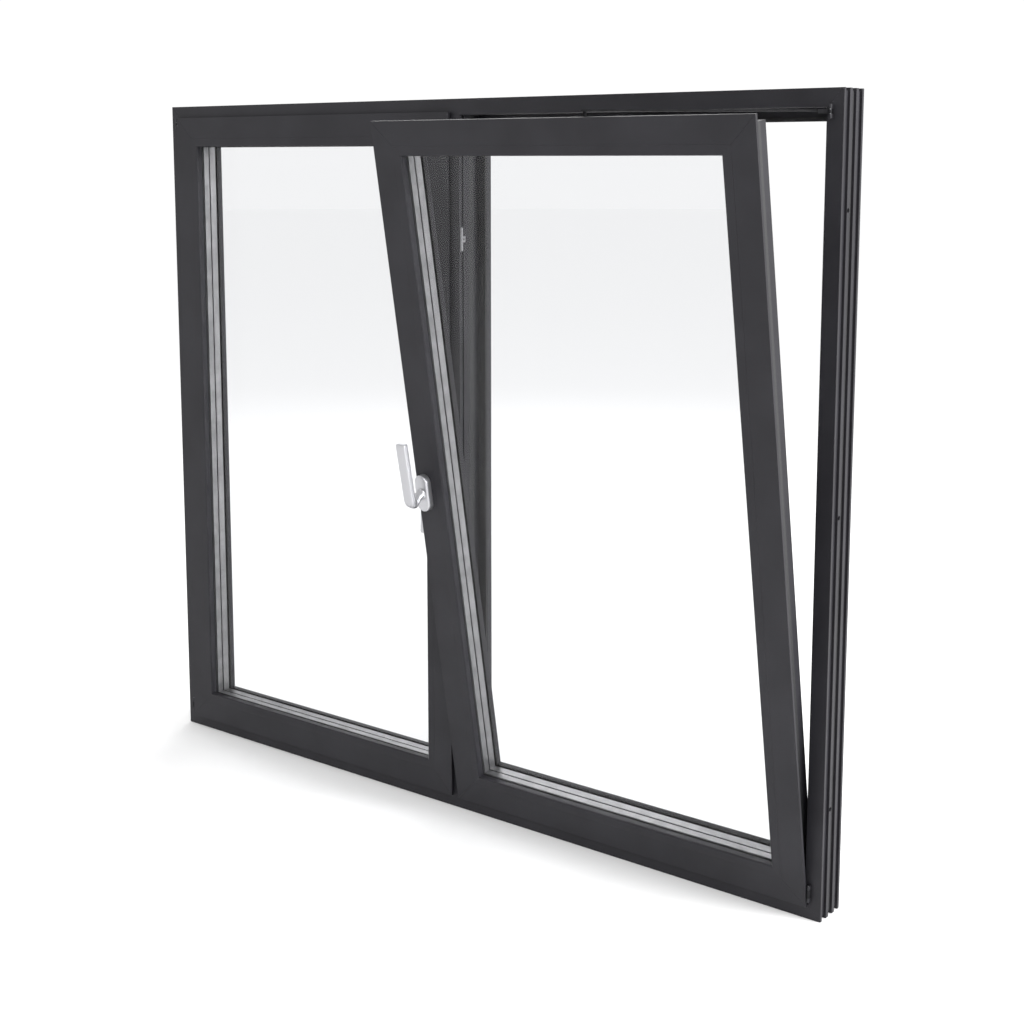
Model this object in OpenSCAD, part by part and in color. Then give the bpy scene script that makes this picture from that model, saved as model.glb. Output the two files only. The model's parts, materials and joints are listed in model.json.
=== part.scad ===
/* [Overall] */
// Width of the outer frame
overall_w = 1650; // [1300:10:2200]
// Height of the outer frame
overall_h = 1440; // [1200:10:1900]
// Depth of the outer frame, room face to weather face
frame_depth = 72; // [70:1:90]

/* [Outer frame] */
// Width of the frame's room-side face
frame_face = 31; // [28:1:45]
// Height of the weather-side stop above the rebate floor
stop_h = 22; // [16:1:30]
// Depth of the weather-side stop
stop_t = 14; // [10:1:16]
// Width of the fixed mullion's room-side face
mullion_face = 28; // [26:1:40]
// Depth of the grooves round the frame's outer edge
perimeter_groove = 4.5; // [2:0.5:5]

/* [Sash] */
// Width of the sash profile seen from the room
sash_face = 64; // [60:1:80]
// Overlap of the sash lip on the frame face
lip_overlap = 6; // [5:0.5:8]
// How far the sash stands proud of the frame on the room side
sash_proud = 9; // [8:0.5:12]
// Thickness of the sash lip
lip_t = 5.8; // [5:0.1:6]
// Air gap between the rebate floor and the sash
rebate_gap = 12; // [11:0.5:14]
// Width of the glazing bead
bead_w = 18; // [16:1:22]
// Depth of the glazing bead
bead_t = 14; // [12:1:16]

/* [Glass] */
// Thickness of each outer pane
pane_t = 5; // [4:1:6]
// Thickness of the middle pane
mid_pane_t = 4; // [3:1:6]
// Cavity on the room side
inner_cavity = 14; // [12:1:16]
// Cavity on the weather side
outer_cavity = 16; // [12:1:18]

/* [Handle] */
// Height of the handle axes above the bottom of the frame
handle_h = 700; // [500:5:1000]
// Distance from the edge of the sash lip to the handle axis
handle_inset = 20; // [19.5:0.1:20.5]
// Length of the grip from its elbow to its tip
grip_l = 125; // [100:1:150]
// Width of the grip
grip_w = 22; // [16:1:24]
// Thickness of the grip
grip_t = 12; // [9:1:14]
// Distance from the sash face to the back of the grip
grip_standoff = 42; // [36:1:55]
// Width of the handle rosette
rosette_w = 31; // [30:1:36]
// Height of the handle rosette
rosette_h = 74; // [72:1:90]
// Depth of the handle rosette
rosette_t = 14; // [11:0.5:18]

/* [Opening] */
// Angle at which the right sash leans into the room
tilt_angle = 10; // [4:0.5:11]
// Length of the stay arm between its pin and its stud
stay_l = 400; // [380:5:460]

/* [Hidden] */

$fn = 48;
powder_coat = "#393b40";
polyamide = "#1e1e20";
epdm = "#141415";
zinc = "#b9bbc0";
dark_steel = "#33353a";
satin_silver = "#c9c9cf";
spacer_grey = "#a4a6aa";
clear_glass = [0.82, 0.90, 0.90, 0.35];

// Walls and small clearances
wall = 2;
slide_clear = 0.3;
pin_clear = 0.05;
fixed_clear = 0.02;
mitre_gap = 0.1;
chamber_clear = 0.2;
eps = 0.01;

// Frame section: u runs inwards from the outer edge, d runs outwards from the room face
flange_d = 6;
groove_end_d = 21;
shell_in_d = 30;
outer_shell_t = 28;
shell_out_d = frame_depth - outer_shell_t;
out_groove_d = shell_out_d + 9;
out_flange_d = frame_depth - flange_d;
stop_d = frame_depth - stop_t;
stop_u = frame_face + stop_h;
chamber_u = perimeter_groove + wall;
keep_groove_d = [5, 13];
keep_groove_u = 3;
break_t = 2.2;

// Weather-side fittings of the frame
centre_gasket_u = [stop_h - 7, stop_h - 1];
centre_gasket_clear = 0.6;
drain_x = [-600, -220, 220, 600];
drain_z = 14;
drain_half = 15;
drain_h = 10;
drain_t = 3.5;
drain_wall = 3;
drain_slot_t = 2;

// Sash section: u runs inwards from the edge of the lip
lip_w = lip_overlap + rebate_gap;
lip_back_d = lip_t - sash_proud;
seat_u = sash_face - bead_w;
sash_in_d = 22;
sash_out_d = 36;
stop_clear = 4;
sash_back_d = stop_d - stop_clear;
sash_step_u = lip_w + stop_h - rebate_gap + stop_clear;
sash_setback = 6;
sash_ext_d = frame_depth - sash_setback;
rod_groove_d = [1, 17];
rod_groove_u = 4;
rod_u = [1, 3.8];
lip_gasket_t = 1;
lip_gasket_u = [1.5, lip_overlap - 0.5];
bead_round = 3;
bead_wall = 1.6;

// Glazing, from the bead outwards
bead_back_d = bead_t - sash_proud;
gasket_t = 3;
gasket_u = [sash_face - 7, sash_face + 0.8];
glass_d0 = bead_back_d + gasket_t;
mid_pane_d = glass_d0 + pane_t + inner_cavity;
outer_cavity_d = mid_pane_d + mid_pane_t;
outer_pane_d = outer_cavity_d + outer_cavity;
glass_d1 = outer_pane_d + pane_t;
glass_leg_d = glass_d1 + gasket_t;
glass_gap = 4;
glass_u = seat_u + glass_gap;
seal_w = 6;
spacer_w = 7;
spacer_wall = 0.8;
setting_block_half = 50;

// Sash places
sash_edge = frame_face - lip_overlap;
mullion_edge = mullion_face / 2 - lip_overlap;
sash_w = overall_w / 2 - sash_edge - mullion_edge;
sash_h = overall_h - 2 * sash_edge;
sash_cx = mullion_edge + sash_w / 2;
mid_z = overall_h / 2;
lip_right_x = mullion_edge + sash_w;
opening_w = overall_w / 2 - frame_face - mullion_face / 2;
opening_h = overall_h - 2 * frame_face;
opening_cx = mullion_face / 2 + opening_w / 2;

// Hinge side: the knuckle sits beside the edge of the lip and is as thick as the lip
knuckle_r = lip_t / 2 - 0.05;
knuckle_gap = 0.45;
knuckle_x = lip_right_x + knuckle_gap + knuckle_r;
knuckle_d = -sash_proud + lip_t / 2;
hinge_pin_r = 1.5;
leaf_t = 1.5;
root_d = -1.2;
leaf_d = root_d - leaf_t;
leaf_bite = 0.2;
foot_inset = 0.1;
low_eye = [42, 56];
top_eye = [-42, -35];
eye_h = 8;
eye_gap = 0.4;

// Tilt axis of the right sash
tilt_d = 3;
tilt_z = frame_face + 6;
tilt_pin_r = 3;
tilt_pin_l = 49;
pivot_inset = 2;
pivot_clear = 0.6;
pivot_depth = tilt_d + 6;
pivot_floor = 5.2;
bracket_inset = 6;
bracket_l = 38;
bracket_depth = tilt_d + 9;
bracket_floor = 4;

// Stay arm
stay_d = 12;
stay_drop = 38;
stay_z = overall_h - stay_drop;
stay_w = 16;
stay_t = 3;
stud_r = 3;
stud_l = 27;
stay_root = [2, 10];
stay_slot_ends = [2, 4];
stay_slot_in_d = 1.3;
stay_slot_gap = 0.9;
// Height above the tilt axis at which the stay holds the sash
tilt_arm = stay_z + 1 - tilt_z;
stay_reach = tilt_arm * sin(tilt_angle) - (stay_d - tilt_d) * cos(tilt_angle) - tilt_d + knuckle_d;
stay_offset = stay_d - knuckle_d;
stay_span = sqrt(stay_l * stay_l + stay_offset * stay_offset);
stay_swing = asin(stay_reach / stay_span) + atan(stay_offset / stay_l);
stay_tip_x = knuckle_x - stay_l;
stay_tilt_x = knuckle_x - stay_span * cos(stay_swing - atan(stay_offset / stay_l));

// Handle drive
teeth = 16;
gear_module = 1;
pitch_r = teeth * gear_module / 2;
addendum = 0.9;
dedendum = 1.2;
backlash = 0.3;
pressure_angle = 20;
quarter_stroke = pitch_r * PI / 2;
pinion_d = [-15, -12];
rack_plate_d = [-11.6, -9.2];
rack_back = 3.4;
rack_half = 15;
prong_half = [1.2, 4];
rosette_wall = 1.6;
axle_r = 7.5;
screw_at = [-11, 24];
screw_r = 2;
screw_head_r = 2.5;
screw_boss_r = 3.4;
screw_seat = 4;
screw_head_t = 2;
rosette_rim = 2.5;
grip_corner_r = 3;
handle_x = mullion_edge + handle_inset;

// Locks
lock_heights = [300, overall_h - 275];
bottom_lock_x = 110;
cam_r = 5;
cam_d = 9;
cam_reach = 6;
cam_head_t = 2;
cam_neck_r = 3.5;
striker_l = 46;
striker_t = 2;
striker_lip = 5.5;
keep_d = [2, 9.4];
keep_lip_t = 1.6;
ear_d = 17;
ear_half = 6;
ear_screw_d = 12;
keep_screw_r = 2.2;
keep_pin_r = 1.6;
keep_pin_d = 6.4;
keep_pin_z = 18;
keep_lead = 4;
keep_side_lead = 7;
rod_end = 90;
bottom_rod = [60, 300];

// Frame fixing holes, through the jambs and the head
fixing_r = 4;
fixing_d = 25.6;
fixing_end = 200;
fixing_head_x = 550;
cleat_l = 60;

// ---------- Bars and rings ----------

// One bar of a ring along its bottom side, with both ends cut at 45 degrees
module mitred_bar(len, width, d0, d1) {
    half = len / 2 - mitre_gap / 2;
    intersection() {
        rotate([0, -90, 0]) linear_extrude(len, center = true) children();
        translate([0, d1, 0]) rotate([90, 0, 0]) linear_extrude(d1 - d0)
            polygon([[-half, 0], [half, 0], [half - width, width], [width - half, width]]);
    }
}

// side 0 is the bottom, 1 the left, 2 the top, 3 the right
module ring_side(side, w, h, width, d0, d1) {
    half = side % 2 == 0 ? h / 2 : w / 2;
    len = side % 2 == 0 ? w : h;
    rotate([0, side * 90, 0]) translate([0, 0, -half])
        mitred_bar(len, width, d0, d1) children();
}

module ring(w, h, width, d0, d1) {
    for (side = [0:3]) ring_side(side, w, h, width, d0, d1) children();
}

// A rectangle given by its u and d limits
module band(u, d) {
    translate([u[0], d[0]]) square([u[1] - u[0], d[1] - d[0]]);
}

module box(x, y, z) {
    translate([x[0], y[0], z[0]]) cube([x[1] - x[0], y[1] - y[0], z[1] - z[0]]);
}

module at_frame() {
    translate([0, 0, mid_z]) children();
}

module at_sash() {
    translate([sash_cx, 0, mid_z]) children();
}

// The left sash mirrors the right one
module left_side() {
    mirror([1, 0, 0]) children();
}

// The right sash leans into the room about its lower edge
module leaning() {
    translate([0, tilt_d, tilt_z]) rotate([tilt_angle, 0, 0]) translate([0, -tilt_d, -tilt_z])
        children();
}

module rod_y(r, d0, d1) {
    translate([0, d1, 0]) rotate([90, 0, 0]) cylinder(h = d1 - d0, r = r);
}

module rod_x(r, x0, x1) {
    translate([x0, 0, 0]) rotate([0, 90, 0]) cylinder(h = x1 - x0, r = r);
}

// ---------- Outer frame ----------

module frame_inner_section() {
    difference() {
        polygon([
            [0, 0], [frame_face, 0],
            [frame_face, keep_groove_d[0]], [frame_face - keep_groove_u, keep_groove_d[0]],
            [frame_face - keep_groove_u, keep_groove_d[1]], [frame_face, keep_groove_d[1]],
            [frame_face, shell_in_d], [0, shell_in_d], [0, groove_end_d],
            [perimeter_groove, groove_end_d], [perimeter_groove, flange_d], [0, flange_d]
        ]);
        band([chamber_u, frame_face - keep_groove_u - wall], [wall, shell_in_d - wall]);
    }
}

module frame_outer_section() {
    difference() {
        polygon([
            [0, shell_out_d], [frame_face, shell_out_d], [frame_face, stop_d], [stop_u, stop_d],
            [stop_u, frame_depth], [0, frame_depth], [0, out_flange_d],
            [perimeter_groove, out_flange_d], [perimeter_groove, out_groove_d], [0, out_groove_d]
        ]);
        band([chamber_u, frame_face - wall], [shell_out_d + wall, frame_depth - wall]);
        band([frame_face, stop_u - wall], [stop_d + wall, frame_depth - wall]);
    }
}

module frame_side(side) {
    at_frame() {
        ring_side(side, overall_w, overall_h, frame_face, 0, shell_in_d) frame_inner_section();
        ring_side(side, overall_w, overall_h, stop_u, shell_out_d, frame_depth)
            frame_outer_section();
    }
}

module jamb_fixings() {
    for (z = [fixing_end, mid_z, overall_h - fixing_end])
        translate([0, fixing_d, z]) rod_x(fixing_r, -overall_w, overall_w);
}

module head_fixings() {
    for (x = [-fixing_head_x, fixing_head_x])
        translate([x, fixing_d, mid_z]) cylinder(h = overall_h, r = fixing_r);
}

module frame_head() {
    color(powder_coat) difference() {
        frame_side(2);
        head_fixings();
    }
}

module frame_sill() {
    color(powder_coat) frame_side(0);
}

module frame_jamb_left() {
    color(powder_coat) difference() {
        frame_side(1);
        jamb_fixings();
    }
}

module frame_jamb_right() {
    color(powder_coat) difference() {
        frame_side(3);
        jamb_fixings();
    }
}

module break_strip(side, u) {
    ring_side(side, overall_w, overall_h, u + break_t, shell_in_d, shell_out_d)
        band([u, u + break_t], [shell_in_d, shell_out_d]);
}

module frame_thermal_breaks() {
    color(polyamide) {
        at_frame() for (side = [0:3]) for (u = [perimeter_groove, frame_face - break_t])
            break_strip(side, u);
        for (x = [-mullion_face / 2, mullion_face / 2 - break_t])
            box([x, x + break_t], [shell_in_d, shell_out_d], [frame_face, overall_h - frame_face]);
    }
}

// A corner cleat: an L-shaped block in the chambers of two mitred bars
module cleat(u, d, w, h) {
    leg = [[u[0], u[0]], [u[0] + cleat_l, u[0]], [u[0] + cleat_l, u[1]], [u[1], u[1]],
        [u[1], u[0] + cleat_l], [u[0], u[0] + cleat_l]];
    for (sx = [0, 1]) for (sz = [0, 1])
        mirror([sx, 0, 0]) mirror([0, 0, sz]) translate([-w / 2, d[1], -h / 2])
            rotate([90, 0, 0]) linear_extrude(d[1] - d[0]) polygon(leg);
}

module frame_corner_cleats() {
    u_in = [chamber_u + chamber_clear, frame_face - keep_groove_u - wall - chamber_clear];
    u_out = [chamber_u + chamber_clear, frame_face - wall - chamber_clear];
    color(zinc) at_frame() {
        cleat(u_in, [wall + chamber_clear, shell_in_d - wall - chamber_clear],
            overall_w, overall_h);
        cleat(u_out, [shell_out_d + wall + chamber_clear, frame_depth - wall - chamber_clear],
            overall_w, overall_h);
    }
}

// ---------- Mullion ----------

module mullion_inner_section() {
    half = mullion_face / 2;
    difference() {
        translate([-half, 0]) square([mullion_face, shell_in_d]);
        for (side = [-1, 1]) translate([side * half, (keep_groove_d[0] + keep_groove_d[1]) / 2])
            square([2 * keep_groove_u, keep_groove_d[1] - keep_groove_d[0]], center = true);
        band([keep_groove_u + wall - half, half - keep_groove_u - wall],
            [wall, shell_in_d - wall]);
    }
}

module mullion_outer_section() {
    half = mullion_face / 2;
    wide = half + stop_h;
    difference() {
        union() {
            band([-half, half], [shell_out_d, frame_depth]);
            band([-wide, wide], [stop_d, frame_depth]);
        }
        band([wall - half, half - wall], [shell_out_d + wall, frame_depth - wall]);
        for (side = [-1, 1]) translate([side * (half + stop_h / 2), stop_d + stop_t / 2])
            square([stop_h - 2 * wall, stop_t - 2 * wall], center = true);
    }
}

module mullion() {
    len = overall_h - 2 * frame_face;
    color(powder_coat) difference() {
        translate([0, 0, frame_face]) linear_extrude(len) {
            mullion_inner_section();
            mullion_outer_section();
        }
        for (z = [[0, stop_u], [overall_h - stop_u, overall_h]])
            box([-overall_w, overall_w], [stop_d, frame_depth + 1], z);
    }
}

module mullion_connectors() {
    half = mullion_face / 2 - keep_groove_u - wall - chamber_clear;
    d = [wall + chamber_clear, shell_in_d - wall - chamber_clear];
    color(zinc) {
        box([-half, half], d, [frame_face, frame_face + cleat_l]);
        box([-half, half], d, [overall_h - frame_face - cleat_l, overall_h - frame_face]);
    }
}

module centre_gaskets() {
    d = [sash_back_d + centre_gasket_clear, stop_d];
    color(epdm) for (side = [0, 1]) mirror([side, 0, 0]) translate([opening_cx, 0, mid_z])
        ring(opening_w, opening_h, centre_gasket_u[1], d[0], d[1]) band(centre_gasket_u, d);
}

module drain_caps() {
    slot_half = drain_half - drain_wall;
    color(powder_coat) for (x = drain_x)
        translate([x, frame_depth, drain_z]) difference() {
            box([-drain_half, drain_half], [0, drain_t], [0, drain_h]);
            box([-slot_half, slot_half], [-1, drain_slot_t], [-1, drain_h - drain_wall]);
        }
}

// ---------- Strikers ----------

// A keep plate on a vertical rebate face at x = 0, with the sash on its +x side: a strip with
// an ear for a screw, and an upright lip that the cam grips
module striker() {
    half = striker_l / 2;
    difference() {
        union() {
            box([0, striker_t], [keep_d[0], keep_d[1]], [-half, half]);
            box([0, striker_t], [keep_d[0], ear_d], [-ear_half, ear_half]);
            box([0, striker_lip], [keep_d[0], keep_d[0] + keep_lip_t], [-half, half]);
        }
        translate([0, ear_screw_d, 0]) rod_x(keep_screw_r, -1, striker_t + 1);
        for (z = [-keep_pin_z, keep_pin_z]) translate([0, keep_pin_d, z])
            rod_x(keep_pin_r, -1, striker_t + 1);
    }
}

module strikers() {
    color(zinc) {
        for (side = [0, 1]) mirror([side, 0, 0]) for (z = lock_heights)
            translate([mullion_face / 2, 0, z + keep_lead]) striker();
        translate([bottom_lock_x + keep_side_lead, 0, frame_face]) rotate([0, -90, 0])
            striker();
    }
}

// ---------- Hinges ----------

// The part of a knuckle that holds the pin, with a foot that reaches back to depth d1
module eye(z, d1, bore) {
    difference() {
        union() {
            translate([knuckle_x, knuckle_d, z[0]]) cylinder(h = z[1] - z[0], r = knuckle_r);
            box([knuckle_x - knuckle_r + foot_inset, knuckle_x + knuckle_r], [knuckle_d, d1], z);
        }
        translate([knuckle_x, knuckle_d, z[0] - 1])
            cylinder(h = z[1] - z[0] + 2, r = hinge_pin_r + bore);
    }
}

// Two fixed eyes above and below a moving eye
module bearing(z) {
    eye([z[0] - eye_gap - eye_h, z[0] - eye_gap], 0, fixed_clear);
    eye([z[1] + eye_gap, z[1] + eye_gap + eye_h], 0, fixed_clear);
}

module bearing_pin(z) {
    translate([knuckle_x, knuckle_d, z[0] - eye_gap - eye_h])
        cylinder(h = z[1] - z[0] + 2 * (eye_gap + eye_h), r = hinge_pin_r);
}

function top_z(z) = [overall_h + z[0], overall_h + z[1]];

module right_frame_bearings() {
    color(powder_coat) {
        bearing(low_eye);
        bearing(top_z(top_eye));
    }
}

module left_frame_bearings() {
    color(powder_coat) left_side() {
        bearing(low_eye);
        bearing(top_z(top_eye));
    }
}

module hinge_pins() {
    color(zinc) for (side = [0, 1]) mirror([side, 0, 0]) {
        bearing_pin(low_eye);
        bearing_pin(top_z(top_eye));
    }
}

// Leaf of a side-hung hinge: from the knuckle behind the lip to the side of the sash
module sash_leaf(z) {
    body_x = lip_right_x - lip_w;
    eye(z, root_d, pin_clear);
    box([body_x, knuckle_x - knuckle_r + leaf_bite], [lip_back_d, root_d], z);
    box([body_x, body_x + wall], [root_d, sash_in_d], z);
}

module left_sash_hinges() {
    color(dark_steel) left_side() {
        sash_leaf(low_eye);
        sash_leaf(top_z(top_eye));
    }
}

// The lower corner pivot turns on the upright pin and carries the level tilt pin
module right_corner_pivot() {
    block_x = [lip_right_x - lip_w + pivot_inset, overall_w / 2 - frame_face - pivot_clear];
    color(dark_steel) {
        eye(low_eye, root_d, pin_clear);
        box([block_x[0], knuckle_x - knuckle_r + leaf_bite], [leaf_d, root_d], low_eye);
        box(block_x, [root_d, pivot_depth], [tilt_z - pivot_floor, low_eye[1]]);
        translate([0, tilt_d, tilt_z]) rod_x(tilt_pin_r, block_x[0] - tilt_pin_l, block_x[0]);
    }
}

module right_tilt_bracket() {
    x1 = lip_right_x - lip_w - bracket_inset;
    x0 = x1 - bracket_l;
    color(dark_steel) leaning() difference() {
        box([x0, x1], [lip_back_d, bracket_depth], [tilt_z - bracket_floor, sash_edge + lip_w]);
        translate([0, tilt_d, tilt_z]) rod_x(tilt_pin_r + pin_clear, x0 - 1, x1 + 1);
    }
}

// The stay arm, drawn folded into the rebate above the closed sash and then swung out
module right_stay_arm() {
    z = top_z(top_eye);
    root_x = [for (gap = stay_root) overall_w / 2 - frame_face - gap];
    tip = stay_tip_x;
    level = [stay_z, stay_z + stay_t];
    color(dark_steel) translate([knuckle_x, knuckle_d, 0]) rotate([0, 0, stay_swing])
        translate([-knuckle_x, -knuckle_d, 0]) {
            eye(z, root_d, pin_clear);
            box([root_x[1], knuckle_x - knuckle_r + leaf_bite], [leaf_d, root_d], z);
            box([root_x[1], root_x[0]], [root_d, stay_d + stay_w / 2], level);
            box([tip, root_x[0]], [stay_d - stay_w / 2, stay_d + stay_w / 2], level);
            translate([tip, stay_d, stay_z]) cylinder(h = stay_t, r = stay_w / 2);
            translate([tip, stay_d, stay_z - stud_l]) cylinder(h = stud_l + stay_t, r = stud_r);
        }
}

// ---------- Sash profiles ----------

module sash_inner_section() {
    difference() {
        polygon([
            [0, -sash_proud], [seat_u, -sash_proud], [seat_u, sash_in_d], [lip_w, sash_in_d],
            [lip_w, rod_groove_d[1]], [lip_w + rod_groove_u, rod_groove_d[1]],
            [lip_w + rod_groove_u, rod_groove_d[0]], [lip_w, rod_groove_d[0]],
            [lip_w, lip_back_d], [0, lip_back_d]
        ]);
        band([lip_w + rod_groove_u + wall, seat_u - wall], [wall - sash_proud, sash_in_d - wall]);
    }
}

module sash_outer_section() {
    difference() {
        polygon([
            [lip_w, sash_out_d], [seat_u, sash_out_d], [seat_u, glass_leg_d],
            [sash_face, glass_leg_d], [sash_face, sash_ext_d], [sash_step_u, sash_ext_d],
            [sash_step_u, sash_back_d], [lip_w, sash_back_d]
        ]);
        band([lip_w + wall, seat_u - wall], [sash_out_d + wall, sash_back_d - wall]);
        band([sash_step_u + wall, sash_face - wall], [glass_leg_d + wall, sash_ext_d - wall]);
    }
}

module sash_side(side) {
    at_sash() {
        ring_side(side, sash_w, sash_h, seat_u, -sash_proud, sash_in_d) sash_inner_section();
        ring_side(side, sash_w, sash_h, sash_face, sash_out_d, sash_ext_d) sash_outer_section();
    }
}

// The slot lets the stay stud into the hollow of the top rail
module stay_slot() {
    z = overall_h - sash_edge - lip_w;
    x = [stay_tip_x - stud_r - stay_slot_ends[0], stay_tilt_x + stud_r + stay_slot_ends[1]];
    box(x, [stay_slot_in_d, stay_d + stud_r + stay_slot_gap],
        [z - rod_groove_u - wall - 1, z + 1]);
}

module sash_top_rail() {
    color(powder_coat) sash_side(2);
}

module sash_bottom_rail() {
    color(powder_coat) sash_side(0);
}

module sash_hinge_stile() {
    color(powder_coat) sash_side(3);
}

// The lock stile has a slot for the drive and holes for the handle screws
module sash_lock_stile() {
    slot_half = prong_half[1] + quarter_stroke + slide_clear;
    color(powder_coat) difference() {
        sash_side(1);
        translate([handle_x, 0, handle_h]) {
            box([-prong_half[0] - slide_clear, prong_half[0] + slide_clear],
                [-sash_proud - 1, rod_groove_d[0] + 1], [-slot_half, slot_half]);
            for (side = [-1, 1]) translate([screw_at[0], 0, side * screw_at[1]])
                rod_y(screw_r + pin_clear, -sash_proud - 1, lip_back_d + 1);
        }
    }
}

module sash_thermal_breaks() {
    d = [sash_in_d, sash_out_d];
    color(polyamide) at_sash() for (u = [lip_w, seat_u - break_t])
        ring(sash_w, sash_h, u + break_t, d[0], d[1]) band([u, u + break_t], d);
}

module sash_corner_cleats() {
    u_in = [lip_w + rod_groove_u + wall + chamber_clear, seat_u - wall - chamber_clear];
    u_out = [lip_w + wall + chamber_clear, seat_u - wall - chamber_clear];
    color(zinc) at_sash() {
        cleat(u_in, [wall - sash_proud + chamber_clear, sash_in_d - wall - chamber_clear],
            sash_w, sash_h);
        cleat(u_out, [sash_out_d + wall + chamber_clear, sash_back_d - wall - chamber_clear],
            sash_w, sash_h);
    }
}

module bead_section() {
    front = -sash_proud;
    soft = bead_round;
    difference() {
        union() {
            band([seat_u + eps, sash_face - soft], [front, bead_back_d]);
            band([sash_face - soft, sash_face], [front + soft, bead_back_d]);
            translate([sash_face - soft, front + soft]) circle(soft);
        }
        band([seat_u + bead_wall, sash_face - soft - 0.6],
            [front + bead_wall, bead_back_d - bead_wall]);
    }
}

module glazing_beads() {
    color(powder_coat) at_sash()
        ring(sash_w, sash_h, sash_face, -sash_proud, bead_back_d) bead_section();
}

module glazing_gaskets() {
    color(epdm) at_sash() for (d = [bead_back_d, glass_d1])
        ring(sash_w, sash_h, gasket_u[1], d, d + gasket_t) band(gasket_u, [d, d + gasket_t]);
}

// On the back of the lip; on the hinge side it stops short of the hinges
module overlap_gasket() {
    u = lip_gasket_u;
    d = [lip_back_d, lip_back_d + lip_gasket_t];
    edge = low_eye[1] + 2 * eye_h - sash_edge;
    color(epdm) at_sash() {
        for (side = [0:2]) ring_side(side, sash_w, sash_h, u[1], d[0], d[1]) band(u, d);
        box([sash_w / 2 - u[1], sash_w / 2 - u[0]], d, [edge - sash_h / 2, sash_h / 2 - edge]);
    }
}

// ---------- Glass ----------

module glass_panes() {
    half_w = sash_w / 2 - glass_u;
    half_h = sash_h / 2 - glass_u;
    color(clear_glass) at_sash()
        for (pane = [[glass_d0, pane_t], [mid_pane_d, mid_pane_t], [outer_pane_d, pane_t]])
            box([-half_w, half_w], [pane[0], pane[0] + pane[1]], [-half_h, half_h]);
}

module glass_spacers() {
    u = [glass_u + seal_w, glass_u + seal_w + spacer_w];
    color(spacer_grey) at_sash()
        for (gap = [[glass_d0 + pane_t, inner_cavity], [outer_cavity_d, outer_cavity]])
            ring(sash_w, sash_h, u[1], gap[0], gap[0] + gap[1]) difference() {
                band(u, [gap[0], gap[0] + gap[1]]);
                band([u[0] + spacer_wall, u[1] - spacer_wall],
                    [gap[0] + spacer_wall, gap[0] + gap[1] - spacer_wall]);
            }
}

module glass_edge_seal() {
    u = [glass_u, glass_u + seal_w];
    color(epdm) at_sash()
        for (gap = [[glass_d0 + pane_t, inner_cavity], [outer_cavity_d, outer_cavity]])
            ring(sash_w, sash_h, u[1], gap[0], gap[0] + gap[1])
                band(u, [gap[0], gap[0] + gap[1]]);
}

module setting_blocks() {
    color(polyamide) at_sash() for (side = [-1, 1])
        translate([side * sash_w / 4, 0, seat_u - sash_h / 2])
            box([-setting_block_half, setting_block_half], [glass_d0, glass_d1], [0, glass_gap]);
}

// ---------- Handle and drive ----------

module at_handle() {
    translate([handle_x, 0, handle_h]) children();
}

module pill(w, h) {
    square([w, h - w], center = true);
    for (side = [-1, 1]) translate([0, side * (h - w) / 2]) circle(w / 2);
}

// A pill-shaped plate in the x-z plane between depths d0 and d1
module pill_plate(w, h, d0, d1) {
    translate([0, d1, 0]) rotate([90, 0, 0]) linear_extrude(d1 - d0) pill(w, h);
}

module handle_rosette() {
    front = -sash_proud - rosette_t;
    rim = rosette_rim;
    inner_w = rosette_w - 2 * rosette_wall;
    inner_h = rosette_h - 2 * rosette_wall;
    color(satin_silver) at_handle() difference() {
        union() {
            difference() {
                union() {
                    pill_plate(rosette_w, rosette_h, front + rim, -sash_proud);
                    pill_plate(rosette_w - rim, rosette_h - rim, front, front + rim + eps);
                }
                pill_plate(inner_w, inner_h, front + rosette_wall, -sash_proud + 1);
            }
            for (side = [-1, 1]) translate([screw_at[0], 0, side * screw_at[1]])
                rod_y(screw_boss_r, front + screw_seat, -sash_proud);
        }
        rod_y(axle_r + pin_clear, front - 1, front + rosette_wall + 1);
        for (side = [-1, 1]) translate([screw_at[0], 0, side * screw_at[1]])
            rod_y(screw_r + pin_clear, front + screw_seat - 1, -sash_proud + 1);
    }
}

module handle_screws() {
    front = -sash_proud - rosette_t;
    color(zinc) at_handle() for (side = [-1, 1])
        translate([screw_at[0], 0, side * screw_at[1]]) {
            rod_y(screw_r, front + screw_seat, lip_back_d);
            rod_y(screw_head_r, front + screw_seat - screw_head_t, front + screw_seat);
        }
}

// The grip is drawn pointing along +x and then turned about its axle
module handle_grip(turn) {
    back = -sash_proud - grip_standoff;
    tip = grip_l - grip_w / 2;
    corner = grip_corner_r;
    color(satin_silver) at_handle() rotate([0, turn, 0]) {
        rod_y(axle_r, back, pinion_d[0]);
        translate([0, back, 0]) rotate([90, 0, 0]) linear_extrude(grip_t) {
            circle(grip_w / 2);
            translate([0, -grip_w / 2]) square([tip - corner, grip_w]);
            translate([tip - corner - 1, corner - grip_w / 2])
                square([corner + 1, grip_w - 2 * corner]);
            for (side = [-1, 1])
                translate([tip - corner, side * (grip_w / 2 - corner)]) circle(corner);
        }
    }
}

function involute(a) = tan(a) - a * PI / 180;
base_r = pitch_r * cos(pressure_angle);
half_tooth = gear_module * PI / 4 - backlash / 2;

// Half the angle of a pinion tooth at radius r, in degrees
function tooth_half(r) = (half_tooth / pitch_r + involute(pressure_angle)
    - involute(acos(min(1, base_r / r)))) * 180 / PI;

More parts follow.
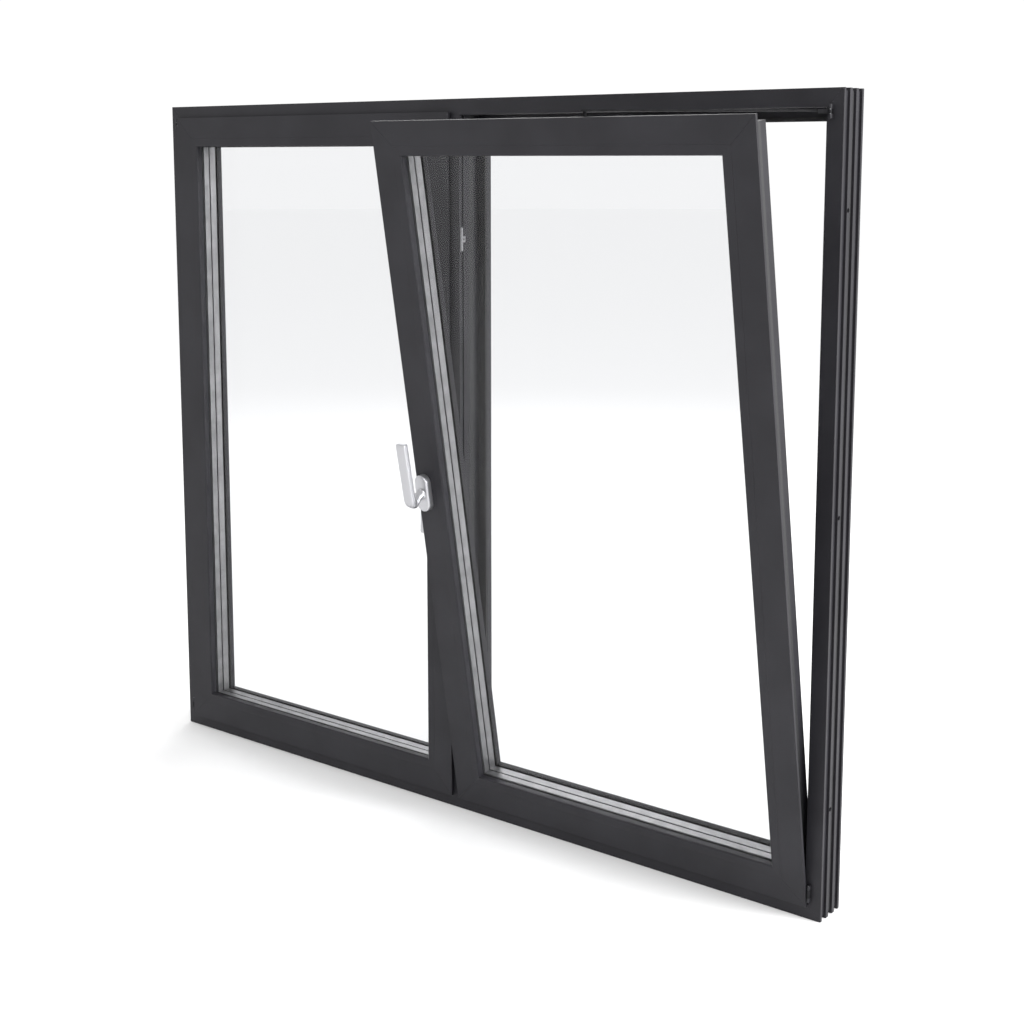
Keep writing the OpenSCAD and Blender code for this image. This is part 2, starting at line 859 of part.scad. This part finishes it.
module pinion_outline() {
    root_r = pitch_r - dedendum;
    radii = [base_r, pitch_r, pitch_r + addendum / 2, pitch_r + addendum];
    rising = [for (r = radii) [r, -tooth_half(r)]];
    falling = [for (i = [3:-1:0]) [radii[i], tooth_half(radii[i])]];
    tooth = concat([[root_r, -tooth_half(base_r)]], rising, falling,
        [[root_r, tooth_half(base_r)]]);
    pitch = 360 / teeth;
    polygon([for (i = [0:teeth - 1]) for (p = tooth)
        p[0] * [cos(p[1] + (i + 0.5) * pitch), sin(p[1] + (i + 0.5) * pitch)]]);
}

module handle_pinion(turn) {
    color(zinc) at_handle() rotate([0, turn, 0]) translate([0, pinion_d[1], 0])
        rotate([90, 0, 0]) linear_extrude(pinion_d[1] - pinion_d[0]) pinion_outline();
}

module rack_tooth() {
    tip = half_tooth - addendum * tan(pressure_angle);
    root = half_tooth + dedendum * tan(pressure_angle);
    polygon([[-addendum, -tip], [dedendum, -root], [dedendum, root], [-addendum, tip]]);
}

// The rack slides up and down inside the rosette and its prong drives the rod
module drive_rack(stroke) {
    count = floor(rack_half / (gear_module * PI));
    color(zinc) at_handle() translate([0, 0, stroke]) {
        translate([pitch_r, pinion_d[1], 0]) rotate([90, 0, 0])
            linear_extrude(pinion_d[1] - pinion_d[0]) {
                band([dedendum, rack_back], [-rack_half, rack_half]);
                for (i = [-count:count]) translate([0, i * gear_module * PI]) rack_tooth();
            }
        box([pitch_r + dedendum, pitch_r + rack_back], [pinion_d[1], rack_plate_d[0]],
            [-rack_half, rack_half]);
        box([-4, pitch_r + rack_back], rack_plate_d, [-rack_half, rack_half]);
        box([-prong_half[0], prong_half[0]], [rack_plate_d[1], rod_groove_d[0] + slide_clear],
            [-prong_half[1], prong_half[1]]);
    }
}

module drive_rod(stroke) {
    x = mullion_edge + lip_w;
    color(zinc) translate([0, 0, stroke])
        box([x + rod_u[0], x + rod_u[1]],
            [rod_groove_d[0] + slide_clear, rod_groove_d[1] - slide_clear],
            [rod_end, overall_h - rod_end]);
}

// A mushroom cam standing off the rod, with its axis along x
module cam() {
    rod_x(cam_neck_r, cam_head_t - cam_reach, rod_u[0]);
    rod_x(cam_r, -cam_reach, cam_head_t - cam_reach);
}

module lock_cams(stroke) {
    color(zinc) translate([mullion_edge + lip_w, cam_d, stroke])
        for (z = lock_heights) translate([0, 0, z + quarter_stroke]) cam();
}

module right_bottom_rod() {
    z = sash_edge + lip_w;
    color(zinc) leaning() translate([quarter_stroke, 0, 0]) {
        box(bottom_rod, [rod_groove_d[0] + slide_clear, rod_groove_d[1] - slide_clear],
            [z + rod_u[0], z + rod_u[1]]);
        translate([bottom_lock_x, cam_d, z]) rotate([0, -90, 0]) cam();
    }
}

// ---------- Left sash, closed with its handle down ----------

module left_sash_top_rail() { left_side() sash_top_rail(); }
module left_sash_bottom_rail() { left_side() sash_bottom_rail(); }
module left_sash_hinge_stile() { left_side() sash_hinge_stile(); }
module left_sash_lock_stile() { left_side() sash_lock_stile(); }
module left_sash_thermal_breaks() { left_side() sash_thermal_breaks(); }
module left_sash_corner_cleats() { left_side() sash_corner_cleats(); }
module left_glazing_beads() { left_side() glazing_beads(); }
module left_glazing_gaskets() { left_side() glazing_gaskets(); }
module left_overlap_gasket() { left_side() overlap_gasket(); }
module left_glass_panes() { left_side() glass_panes(); }
module left_glass_spacers() { left_side() glass_spacers(); }
module left_glass_edge_seal() { left_side() glass_edge_seal(); }
module left_setting_blocks() { left_side() setting_blocks(); }
module left_handle_rosette() { left_side() handle_rosette(); }
module left_handle_grip() { left_side() handle_grip(90); }
module left_handle_pinion() { left_side() handle_pinion(90); }
module left_handle_screws() { left_side() handle_screws(); }
module left_drive_rack() { left_side() drive_rack(-quarter_stroke); }
module left_drive_rod() { left_side() drive_rod(-quarter_stroke); }
module left_lock_cams() { left_side() lock_cams(-quarter_stroke); }

// ---------- Right sash, leaning into the room with its handle up ----------

module right_sash_top_rail() {
    leaning() difference() {
        sash_top_rail();
        stay_slot();
    }
}

module right_sash_bottom_rail() { leaning() sash_bottom_rail(); }
module right_sash_hinge_stile() { leaning() sash_hinge_stile(); }
module right_sash_lock_stile() { leaning() sash_lock_stile(); }
module right_sash_thermal_breaks() { leaning() sash_thermal_breaks(); }
module right_sash_corner_cleats() { leaning() sash_corner_cleats(); }
module right_glazing_beads() { leaning() glazing_beads(); }
module right_glazing_gaskets() { leaning() glazing_gaskets(); }
module right_overlap_gasket() { leaning() overlap_gasket(); }
module right_glass_panes() { leaning() glass_panes(); }
module right_glass_spacers() { leaning() glass_spacers(); }
module right_glass_edge_seal() { leaning() glass_edge_seal(); }
module right_setting_blocks() { leaning() setting_blocks(); }
module right_handle_rosette() { leaning() handle_rosette(); }
module right_handle_grip() { leaning() handle_grip(-90); }
module right_handle_pinion() { leaning() handle_pinion(-90); }
module right_handle_screws() { leaning() handle_screws(); }
module right_drive_rack() { leaning() drive_rack(quarter_stroke); }
module right_drive_rod() { leaning() drive_rod(quarter_stroke); }
module right_lock_cams() { leaning() lock_cams(quarter_stroke); }

frame_head();
frame_sill();
frame_jamb_left();
frame_jamb_right();
frame_thermal_breaks();
frame_corner_cleats();
mullion();
mullion_connectors();
centre_gaskets();
strikers();
drain_caps();
hinge_pins();
left_frame_bearings();
right_frame_bearings();
right_corner_pivot();
right_stay_arm();
left_sash_top_rail();
left_sash_bottom_rail();
left_sash_hinge_stile();
left_sash_lock_stile();
left_sash_thermal_breaks();
left_sash_corner_cleats();
left_glazing_beads();
left_glazing_gaskets();
left_overlap_gasket();
left_glass_panes();
left_glass_spacers();
left_glass_edge_seal();
left_setting_blocks();
left_sash_hinges();
left_handle_rosette();
left_handle_grip();
left_handle_pinion();
left_handle_screws();
left_drive_rack();
left_drive_rod();
left_lock_cams();
right_sash_top_rail();
right_sash_bottom_rail();
right_sash_hinge_stile();
right_sash_lock_stile();
right_sash_thermal_breaks();
right_sash_corner_cleats();
right_glazing_beads();
right_glazing_gaskets();
right_overlap_gasket();
right_glass_panes();
right_glass_spacers();
right_glass_edge_seal();
right_setting_blocks();
right_tilt_bracket();
right_handle_rosette();
right_handle_grip();
right_handle_pinion();
right_handle_screws();
right_drive_rack();
right_drive_rod();
right_lock_cams();
right_bottom_rod();
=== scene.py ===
import json
import math

import bmesh
import bpy
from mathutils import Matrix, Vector


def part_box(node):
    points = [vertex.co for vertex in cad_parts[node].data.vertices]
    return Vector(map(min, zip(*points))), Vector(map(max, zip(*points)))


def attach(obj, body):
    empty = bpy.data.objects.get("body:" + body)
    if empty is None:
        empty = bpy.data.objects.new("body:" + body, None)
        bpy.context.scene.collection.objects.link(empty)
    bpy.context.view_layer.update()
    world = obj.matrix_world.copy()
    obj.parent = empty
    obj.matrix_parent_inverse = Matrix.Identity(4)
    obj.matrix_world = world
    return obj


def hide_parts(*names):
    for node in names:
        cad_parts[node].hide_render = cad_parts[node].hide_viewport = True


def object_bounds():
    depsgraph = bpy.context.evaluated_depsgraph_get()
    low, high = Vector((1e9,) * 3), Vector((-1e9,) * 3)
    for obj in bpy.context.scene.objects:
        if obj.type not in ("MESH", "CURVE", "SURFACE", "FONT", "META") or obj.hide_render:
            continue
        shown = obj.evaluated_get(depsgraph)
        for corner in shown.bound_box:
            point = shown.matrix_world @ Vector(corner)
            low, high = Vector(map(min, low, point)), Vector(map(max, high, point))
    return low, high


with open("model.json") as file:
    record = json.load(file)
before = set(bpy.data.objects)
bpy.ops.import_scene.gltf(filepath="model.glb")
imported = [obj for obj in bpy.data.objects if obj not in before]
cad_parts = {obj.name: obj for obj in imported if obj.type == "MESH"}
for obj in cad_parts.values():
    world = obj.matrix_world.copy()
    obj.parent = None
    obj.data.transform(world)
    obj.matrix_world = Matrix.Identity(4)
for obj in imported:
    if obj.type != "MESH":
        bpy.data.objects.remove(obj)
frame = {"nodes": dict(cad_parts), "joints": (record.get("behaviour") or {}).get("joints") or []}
nodes = frame["nodes"]
cad_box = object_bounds()

MM = 0.001
SIDES = ("left", "right")


# ---------- Node material helpers ----------

def new_material(name, colour, roughness, metallic=0.0, specular=0.5):
    """A material with one Principled shader; returns it with its nodes, links and shader."""
    material = bpy.data.materials.new(name)
    material.use_nodes = True
    tree = material.node_tree
    shader = tree.nodes["Principled BSDF"]
    shader.inputs["Base Color"].default_value = (*colour, 1)
    shader.inputs["Roughness"].default_value = roughness
    shader.inputs["Metallic"].default_value = metallic
    shader.inputs["Specular IOR Level"].default_value = specular
    return material, tree.nodes, tree.links, shader


def object_coords(tree_nodes, links, stretch=(1, 1, 1)):
    """Object coordinates in metres, scaled by stretch."""
    coords = tree_nodes.new("ShaderNodeTexCoord")
    mapping = tree_nodes.new("ShaderNodeMapping")
    mapping.inputs["Scale"].default_value = stretch
    links.new(coords.outputs["Object"], mapping.inputs["Vector"])
    return mapping.outputs["Vector"]


def noise(tree_nodes, links, vector, size, detail=2.0, rough=0.5):
    """A noise whose features are about size metres across."""
    node = tree_nodes.new("ShaderNodeTexNoise")
    node.inputs["Scale"].default_value = 1 / size
    node.inputs["Detail"].default_value = detail
    node.inputs["Roughness"].default_value = rough
    links.new(vector, node.inputs["Vector"])
    return node.outputs["Fac"]


def spread(tree_nodes, links, value, low, high, to_low, to_high):
    """Maps the range low..high of value to to_low..to_high."""
    node = tree_nodes.new("ShaderNodeMapRange")
    node.inputs["From Min"].default_value = low
    node.inputs["From Max"].default_value = high
    node.inputs["To Min"].default_value = to_low
    node.inputs["To Max"].default_value = to_high
    links.new(value, node.inputs["Value"])
    return node.outputs["Result"]


def two_tone(tree_nodes, links, value, dark, light):
    """A colour between dark and light, by value."""
    node = tree_nodes.new("ShaderNodeMix")
    node.data_type = "RGBA"
    node.inputs["A"].default_value = (*dark, 1)
    node.inputs["B"].default_value = (*light, 1)
    links.new(value, node.inputs["Factor"])
    return node.outputs["Result"]


def add_bump(tree_nodes, links, shader, height, depth, strength):
    """Bumps of the given depth in metres."""
    node = tree_nodes.new("ShaderNodeBump")
    node.inputs["Strength"].default_value = strength
    node.inputs["Distance"].default_value = depth
    links.new(height, node.inputs["Height"])
    links.new(node.outputs["Normal"], shader.inputs["Normal"])


# ---------- Materials ----------

def powder_coat():
    """Satin anthracite powder coat with a fine orange-peel grain."""
    dark = (0.0142, 0.0136, 0.0168)
    light = (0.0192, 0.0186, 0.0226)
    material, n, links, shader = new_material("anthracite_powder_coat", dark, 0.5, 0, 0.27)
    vector = object_coords(n, links)
    cloud = noise(n, links, vector, 0.12, 3)
    grain = noise(n, links, vector, 0.9 * MM, 2)
    links.new(two_tone(n, links, spread(n, links, cloud, 0.35, 0.65, 0, 1), dark, light),
              shader.inputs["Base Color"])
    links.new(spread(n, links, grain, 0.3, 0.7, 0.44, 0.56), shader.inputs["Roughness"])
    add_bump(n, links, shader, grain, 0.012 * MM, 0.5)
    return material


def handle_alloy():
    """Satin silver lacquer on cast alloy."""
    material, n, links, shader = new_material("satin_silver_handle", (0.50, 0.50, 0.52), 0.38, 0.9)
    vector = object_coords(n, links)
    grain = noise(n, links, vector, 0.5 * MM, 3)
    links.new(spread(n, links, grain, 0.3, 0.7, 0.33, 0.43), shader.inputs["Roughness"])
    add_bump(n, links, shader, grain, 0.02 * MM, 0.4)
    return material


def polyamide():
    """Glass-filled black polyamide, with short pale fibres at its surface."""
    material, n, links, shader = new_material("polyamide_break", (0.012, 0.012, 0.013), 0.55)
    fibres = noise(n, links, object_coords(n, links, (1, 1, 0.2)), 0.8 * MM, 4, 0.7)
    links.new(two_tone(n, links, spread(n, links, fibres, 0.45, 0.7, 0, 1),
                       (0.010, 0.010, 0.011), (0.028, 0.028, 0.030)), shader.inputs["Base Color"])
    add_bump(n, links, shader, fibres, 0.03 * MM, 0.3)
    return material


def epdm():
    """Black rubber gasket with a matt, slightly dusty skin."""
    material, n, links, shader = new_material("epdm_rubber", (0.014, 0.014, 0.014), 0.7, 0, 0.35)
    vector = object_coords(n, links)
    bloom = noise(n, links, vector, 25 * MM, 3)
    grain = noise(n, links, vector, 0.4 * MM, 2)
    links.new(two_tone(n, links, spread(n, links, bloom, 0.35, 0.7, 0, 1),
                       (0.011, 0.011, 0.011), (0.022, 0.022, 0.023)), shader.inputs["Base Color"])
    links.new(spread(n, links, grain, 0.3, 0.7, 0.62, 0.8), shader.inputs["Roughness"])
    add_bump(n, links, shader, grain, 0.03 * MM, 0.4)
    return material


def zinc(name, dark, light):
    """Zinc with a faint spangle between two tones."""
    material, n, links, shader = new_material(name, dark, 0.32, 1.0)
    vector = object_coords(n, links)
    spangle = noise(n, links, vector, 3 * MM, 2)
    grain = noise(n, links, vector, 0.3 * MM, 2)
    links.new(two_tone(n, links, spread(n, links, spangle, 0.35, 0.65, 0, 1), dark, light),
              shader.inputs["Base Color"])
    links.new(spread(n, links, grain, 0.3, 0.7, 0.26, 0.42), shader.inputs["Roughness"])
    add_bump(n, links, shader, grain, 0.01 * MM, 0.3)
    return material


def cleat_alloy():
    """Mill-finish extruded aluminium, with die lines along its length."""
    material, n, links, shader = new_material("mill_aluminium", (0.5, 0.5, 0.51), 0.4, 1.0)
    lines = noise(n, links, object_coords(n, links, (1, 1, 0.02)), 0.6 * MM, 3)
    links.new(two_tone(n, links, lines, (0.42, 0.42, 0.43), (0.60, 0.60, 0.61)),
              shader.inputs["Base Color"])
    links.new(spread(n, links, lines, 0.3, 0.7, 0.32, 0.5), shader.inputs["Roughness"])
    add_bump(n, links, shader, lines, 0.01 * MM, 0.3)
    return material


def dark_steel():
    """Dark coated steel of the hinges and the stay; its near-black colour is partly the coating's own
    and partly painted shade, standing in for the shadow under the frame head where the stay runs.
    """
    material, n, links, shader = new_material("dark_coated_steel_and_painted_shade", (0.012, 0.012, 0.013), 0.55, 0, 0.12)
    vector = object_coords(n, links)
    cloud = noise(n, links, vector, 12 * MM, 3)
    grain = noise(n, links, vector, 0.4 * MM, 2)
    # Two near-black tones: the coating's dark colour, darkened further as painted shade.
    links.new(two_tone(n, links, spread(n, links, cloud, 0.35, 0.65, 0, 1),
                       (0.008, 0.008, 0.009), (0.016, 0.016, 0.018)), shader.inputs["Base Color"])
    links.new(spread(n, links, grain, 0.3, 0.7, 0.48, 0.62), shader.inputs["Roughness"])
    add_bump(n, links, shader, grain, 0.02 * MM, 0.3)
    return material


def spacer_metal():
    """Rolled spacer bar with fine lines from the rollers."""
    material, n, links, shader = new_material("spacer_bar", (0.22, 0.22, 0.222), 0.45, 1.0)
    vector = object_coords(n, links)
    cloud = noise(n, links, vector, 30 * MM, 2)
    grain = noise(n, links, vector, 0.3 * MM, 2)
    links.new(two_tone(n, links, spread(n, links, cloud, 0.35, 0.65, 0, 1),
                       (0.205, 0.204, 0.208), (0.265, 0.264, 0.269)), shader.inputs["Base Color"])
    links.new(spread(n, links, grain, 0.3, 0.7, 0.36, 0.46), shader.inputs["Roughness"])
    add_bump(n, links, shader, grain, 0.004 * MM, 0.3)
    return material


def clear_glass():
    """Clear glass with faint reflections, which light passes through without a shadow."""
    tint = (0.951, 0.953, 0.957)
    material, n, links, shader = new_material("clear_float_glass", tint, 0.0)
    shader.inputs["Transmission Weight"].default_value = 1
    shader.inputs["IOR"].default_value = 1.14
    clear = n.new("ShaderNodeBsdfTransparent")
    clear.inputs["Color"].default_value = (*tint, 1)
    path = n.new("ShaderNodeLightPath")
    mix = n.new("ShaderNodeMixShader")
    links.new(path.outputs["Is Shadow Ray"], mix.inputs["Fac"])
    links.new(shader.outputs["BSDF"], mix.inputs[1])
    links.new(clear.outputs["BSDF"], mix.inputs[2])
    links.new(mix.outputs["Shader"], n["Material Output"].inputs["Surface"])
    return material


SLOT_MATERIALS = {
    "powder_coat": powder_coat(),
    "handle_alloy": handle_alloy(),
    "polyamide": polyamide(),
    "epdm": epdm(),
    "zinc": zinc("zinc_plate", (0.46, 0.47, 0.50), (0.62, 0.63, 0.64)),
    "cleat_alloy": cleat_alloy(),
    "dark_steel": dark_steel(),
    "spacer": spacer_metal(),
    "glass": clear_glass(),
}

# A darker copy of the zinc for the strikers only: the same metal, with painted shade in its colour.
SHADED_STRIKER_ZINC = zinc("striker_zinc_painted_shade", (0.26, 0.26, 0.27), (0.34, 0.34, 0.35))


# ---------- Carried-over CAD nodes ----------

EDGE_RADIUS = {
    "powder_coat": 0.3 * MM,
    "dark_steel": 0.3 * MM,
    "zinc": 0.25 * MM,
    "cleat_alloy": 0.4 * MM,
}
WELD_DISTANCE = 0.001 * MM
BEVEL_ANGLE = math.radians(35)


def dress_cad_nodes():
    """Gives each CAD node its material, and the metal ones softly rounded edges."""
    for node in nodes.values():
        slot_name = node.data.materials[0].name
        for slot in node.material_slots:
            slot.material = SHADED_STRIKER_ZINC if node == nodes["strikers"] else SLOT_MATERIALS[slot_name]
        if slot_name not in EDGE_RADIUS:
            continue
        weld = node.modifiers.new("join_corners", "WELD")
        weld.merge_threshold = WELD_DISTANCE
        bevel = node.modifiers.new("soft_edges", "BEVEL")
        bevel.width = EDGE_RADIUS[slot_name]
        bevel.segments = 2
        bevel.limit_method = "ANGLE"
        bevel.angle_limit = BEVEL_ANGLE
        bevel.harden_normals = False


# ---------- Handles ----------

SECTION_POINTS = 40
SHARP_ANGLE = math.radians(40)


def rounded_section(centre, side, up, width, depth, squareness):
    """A ring of points round centre: a superellipse width wide along side and depth deep along up."""
    ring = []
    for i in range(SECTION_POINTS):
        angle = 2 * math.pi * i / SECTION_POINTS
        c, s = math.cos(angle), math.sin(angle)
        x = math.copysign(abs(c) ** (2 / squareness), c) * width / 2
        y = math.copysign(abs(s) ** (2 / squareness), s) * depth / 2
        ring.append(centre + side * x + up * y)
    return ring


def skin(name, rings, body, slot_name, replaced):
    """A closed surface through the rings, which rides on a body in place of a CAD node."""
    mesh = bmesh.new()
    rows = [[mesh.verts.new(point) for point in ring] for ring in rings]
    count = len(rows[0])
    for low, high in zip(rows, rows[1:]):
        for i in range(count):
            j = (i + 1) % count
            mesh.faces.new((low[i], low[j], high[j], high[i]))
    mesh.faces.new(rows[0])
    mesh.faces.new(rows[-1])
    bmesh.ops.recalc_face_normals(mesh, faces=mesh.faces)
    data = bpy.data.meshes.new(name)
    mesh.to_mesh(data)
    mesh.free()
    data.shade_smooth()
    data.set_sharp_from_angle(angle=SHARP_ANGLE)
    piece = bpy.data.objects.new(name, data)
    bpy.context.scene.collection.objects.link(piece)
    data.materials.append(SLOT_MATERIALS[slot_name])
    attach(piece, body)
    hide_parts(replaced)


def joint(name):
    """The joint of this name in the frame."""
    return next(j for j in frame["joints"] if j["name"] == name)


class Handle:
    """Directions and sizes of one handle: out is into the room, blade points along the grip.

    The sizes come from the left handle, which stands square to the axes; the right one is equal.
    """

    def __init__(self, side):
        turn = joint(f"{side}_handle_turn")
        self.side = side
        self.seat = Vector(turn["pos_m"])
        self.out = -Vector(turn["axis"]).normalized()
        self.across = Vector((1, 0, 0))
        self.up = self.across.cross(-self.out)
        self.blade = -self.up if side == "left" else self.up
        rosette_low, rosette_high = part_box("left_handle_rosette")
        grip_low, grip_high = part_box("left_handle_grip")
        self.rosette_size = rosette_high - rosette_low
        self.grip_width = grip_high.x - grip_low.x
        self.reach = self.seat_y(grip_low)
        self.length = self.left_axis_z() - grip_low.z

    def seat_y(self, corner):
        """How far a corner of the left handle stands out from the sash face."""
        return joint("left_handle_turn")["pos_m"][1] - corner.y

    def left_axis_z(self):
        """Height of the left handle's axle."""
        return joint("left_handle_turn")["pos_m"][2]

    def place(self, across, along, out):
        """A point given from the axle, across the grip, along it and out of the sash face."""
        return self.seat + self.across * across + self.blade * along + self.out * out


# Collar round the axle, and the neck that dips away from the blade on its way out
COLLAR_D = 23 * MM
COLLAR_T = 1.6 * MM
NECK_D = 19 * MM
NECK_DROP = 11 * MM
# Elbow, and the squareness of a round and of a flat section
ELBOW_R = 11 * MM
ELBOW_STEPS = 12
ROUND = 2
BLADE_SQUARE = 7
# Blade: its thickness, how far its tip leans out, and its rounded end
BLADE_T = 12 * MM
BLADE_LEAN = 3 * MM
TIP_R = 3 * MM
# Rosette: its rounded front edge, eased back edge and slight crown
ROSETTE_EDGE_R = 4 * MM
ROSETTE_BACK_R = 0.4 * MM
ROSETTE_CROWN_R = 3 * MM
ROSETTE_CROWN_H = 0.1 * MM
ROSETTE_EDGE_STEPS = 6
PILL_STEPS = 24


def grip(handle):
    """Collar, round neck, elbow and flat blade in one casting."""
    front = handle.rosette_size.y
    centre_out = handle.reach - BLADE_T / 2
    elbow_start = centre_out - ELBOW_R
    rings = []
    neck_profile = [
        (COLLAR_D - 1.4 * MM, front + 0.3 * MM),
        (COLLAR_D, front + 0.5 * MM),
        (COLLAR_D, front + COLLAR_T - 0.6 * MM),
        (COLLAR_D - 1.2 * MM, front + COLLAR_T),
        (NECK_D + 2.6 * MM, front + COLLAR_T + 0.2 * MM),
        (NECK_D + 0.9 * MM, front + COLLAR_T + 0.9 * MM),
        (NECK_D, front + COLLAR_T + 2.6 * MM),
        (NECK_D, elbow_start * 0.5 + front * 0.5),
        (NECK_D, elbow_start),
    ]
    for width, out in neck_profile:
        drop = NECK_DROP * max(0, (out - front) / (elbow_start - front)) ** 2
        centre = handle.place(0, -drop, out)
        rings.append(rounded_section(centre, handle.across, handle.blade, width, width, ROUND))
    for i in range(1, ELBOW_STEPS + 1):
        t = i / ELBOW_STEPS
        angle = t * math.pi / 2
        blend = t * t * (3 - 2 * t)
        centre = handle.place(0, ELBOW_R * (1 - math.cos(angle)) - NECK_DROP,
                              elbow_start + ELBOW_R * math.sin(angle))
        across_path = (handle.blade * math.cos(angle) - handle.out * math.sin(angle)).normalized()
        rings.append(rounded_section(centre, handle.across, across_path,
                                     NECK_D + (handle.grip_width - NECK_D) * blend,
                                     NECK_D + (BLADE_T - NECK_D) * blend,
                                     ROUND + (BLADE_SQUARE - ROUND) * blend))
    blade_start = ELBOW_R - NECK_DROP
    tip = handle.length
    blade_profile = [
        (blade_start + 12 * MM, 0),
        (blade_start + 45 * MM, 0),
        (tip - TIP_R - 12 * MM, 0),
        (tip - TIP_R, 0),
        (tip - 0.55 * TIP_R, 0.35 * MM),
        (tip - 0.2 * TIP_R, 1.1 * MM),
        (tip - 0.04 * TIP_R, 2.0 * MM),
        (tip, 3.0 * MM),
    ]
    for along, inset in blade_profile:
        lean = BLADE_LEAN * (along - blade_start) / (tip - blade_start)
        centre = handle.place(0, along, centre_out + lean)
        rings.append(rounded_section(centre, handle.across, -handle.out,
                                     handle.grip_width - 2 * inset, BLADE_T - 2 * inset, BLADE_SQUARE))
    skin(f"{handle.side}_grip", rings, f"{handle.side}_handle", "handle_alloy",
         f"{handle.side}_handle_grip")


def rosette(handle):
    """A thick pill-shaped cover with a rounded front edge."""
    width, thick, height = handle.rosette_size
    round_r = ROSETTE_EDGE_R
    half = height / 2 - width / 2

    def pill(inset, out):
        """A pill-shaped ring, set in from the outline and standing out from the sash face."""
        radius = width / 2 - inset
        ring = []
        for end in (1, -1):
            for i in range(PILL_STEPS + 1):
                angle = math.pi * i / PILL_STEPS
                ring.append(handle.seat + handle.across * (end * radius * math.cos(angle))
                            + handle.up * (end * (half + radius * math.sin(angle))) + handle.out * out)
        return ring

    rings = [pill(ROSETTE_BACK_R, 0), pill(0, ROSETTE_BACK_R), pill(0, thick - round_r)]
    for i in range(1, ROSETTE_EDGE_STEPS + 1):
        angle = i / ROSETTE_EDGE_STEPS * math.pi / 2
        rings.append(pill(round_r * (1 - math.cos(angle)), thick - round_r + round_r * math.sin(angle)))
    rings.append(pill(width / 2 - ROSETTE_CROWN_R, thick + ROSETTE_CROWN_H))
    skin(f"{handle.side}_rosette", rings, f"{handle.side}_sash", "handle_alloy",
         f"{handle.side}_handle_rosette")


# ---------- Studio ----------

FLOOR_RADIUS = 40
FLOOR_GAP = 0.5 * MM


def studio():
    """A white world and a pale round floor just under the window."""
    world = bpy.data.worlds.new("studio")
    bpy.context.scene.world = world
    world.use_nodes = True
    world.node_tree.nodes["Background"].inputs["Color"].default_value = (1, 1, 1, 1)
    world.node_tree.nodes["Background"].inputs["Strength"].default_value = 1.04

    floor_mesh = bpy.data.meshes.new("floor")
    floor = bpy.data.objects.new("floor", floor_mesh)
    bpy.context.scene.collection.objects.link(floor)
    disc = bmesh.new()
    bmesh.ops.create_circle(disc, cap_ends=True, segments=96, radius=FLOOR_RADIUS)
    disc.to_mesh(floor_mesh)
    disc.free()
    floor.location.z = cad_box[0].z - FLOOR_GAP
    pale, n, links, shader = new_material("pale_floor", (0.97, 0.97, 0.97), 0.8, 0, 0)
    floor_mesh.materials.append(pale)


def soft_light(name, place, target, size, power):
    """A round area light, size metres across, that faces the target."""
    data = bpy.data.lights.new(name, "AREA")
    data.shape = "DISK"
    data.size = size
    data.energy = power
    light = bpy.data.objects.new(name, data)
    light.location = place
    light.rotation_euler = (Vector(target) - Vector(place)).to_track_quat("-Z", "Y").to_euler()
    bpy.context.scene.collection.objects.link(light)


def camera():
    """The room-side view from the right, a little above the middle of the window."""
    data = bpy.data.cameras.new("camera")
    data.lens = 55.863
    data.sensor_width = 36
    data.shift_y = -0.12
    cam = bpy.data.objects.new("camera", data)
    cam.location = (2.0019, -2.4039, 1.3237)
    yaw, pitch = math.radians(37.726), math.radians(8.227)
    cam.rotation_euler = (math.pi / 2 - pitch, 0, yaw)
    bpy.context.scene.collection.objects.link(cam)
    bpy.context.scene.camera = cam


dress_cad_nodes()
for side_name in SIDES:
    made = Handle(side_name)
    grip(made)
    rosette(made)
studio()
middle = (cad_box[0] + cad_box[1]) / 2
soft_light("key", (3.2, -3.0, 3.4), middle, size=2.0, power=60)
soft_light("back", (-2.5, 3.5, 3.2), middle, size=2.0, power=40)
soft_light("side", (4.6, 0.9, 1.7), middle, size=2.4, power=260)
camera()
bpy.context.scene.view_settings.view_transform = "Standard"
